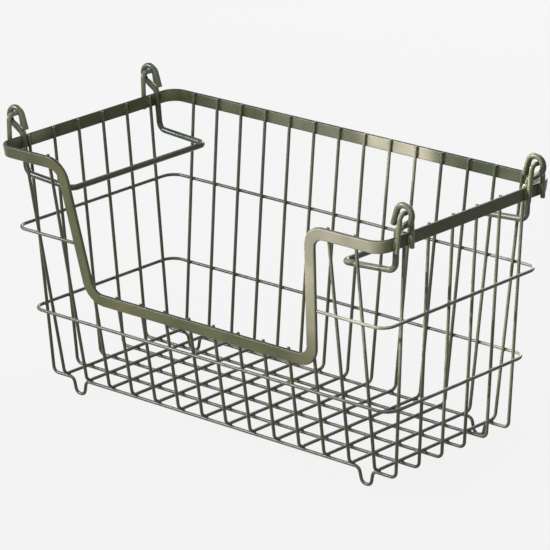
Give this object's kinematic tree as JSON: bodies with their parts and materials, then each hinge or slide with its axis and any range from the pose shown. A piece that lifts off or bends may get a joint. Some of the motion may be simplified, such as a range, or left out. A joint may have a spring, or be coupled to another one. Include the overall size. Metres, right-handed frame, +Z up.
{
  "type": "stacking wire basket",
  "caption": "Open-top wire mesh basket with a flat-bar rim that dips into a front scoop, and a swing-over wire bail at each end that carries a stacked basket or lets it nest.",
  "frame": {"origin": "ground point under the middle of the basket, on the plane that the feet stand on", "axes": "+X along the basket to the right end, +Y to the back wall, with the scoop on the -Y side, +Z up"},
  "size_m": [0.4166, 0.1983, 0.2327],
  "materials": {
    "olive_paint": "satin olive enamel"
  },
  "bodies": {
    "basket": {"cross_wire_1": "olive_paint", "cross_wire_2": "olive_paint", "cross_wire_3": "olive_paint", "cross_wire_4": "olive_paint", "cross_wire_5": "olive_paint", "cross_wire_6": "olive_paint", "cross_wire_7": "olive_paint", "cross_wire_8": "olive_paint", "cross_wire_9": "olive_paint", "cross_wire_10": "olive_paint", "cross_wire_11": "olive_paint", "cross_wire_12": "olive_paint", "cross_wire_13": "olive_paint", "cross_wire_14": "olive_paint", "long_wire_1": "olive_paint", "long_wire_2": "olive_paint", "long_wire_3": "olive_paint", "long_wire_4": "olive_paint", "long_wire_5": "olive_paint", "long_wire_6": "olive_paint", "lower_ring": "olive_paint", "upper_ring": "olive_paint", "rim": "olive_paint", "staple_front_left": "olive_paint", "staple_back_left": "olive_paint", "staple_front_right": "olive_paint", "staple_back_right": "olive_paint"},
    "left_bail": {"left_bail": "olive_paint"},
    "right_bail": {"right_bail": "olive_paint"}
  },
  "joints": [
    {"name": "left_bail_swing", "type": "hinge", "parent": "basket", "child": "left_bail", "pos_m": [-0.20056, 0, 0.22499], "axis": [0, -1, 0], "range_deg": [0, 314.7]},
    {"name": "right_bail_swing", "type": "hinge", "parent": "basket", "child": "right_bail", "pos_m": [0.20056, 0, 0.22499], "axis": [0, 1, 0], "range_deg": [0, 314.7]}
  ]
}
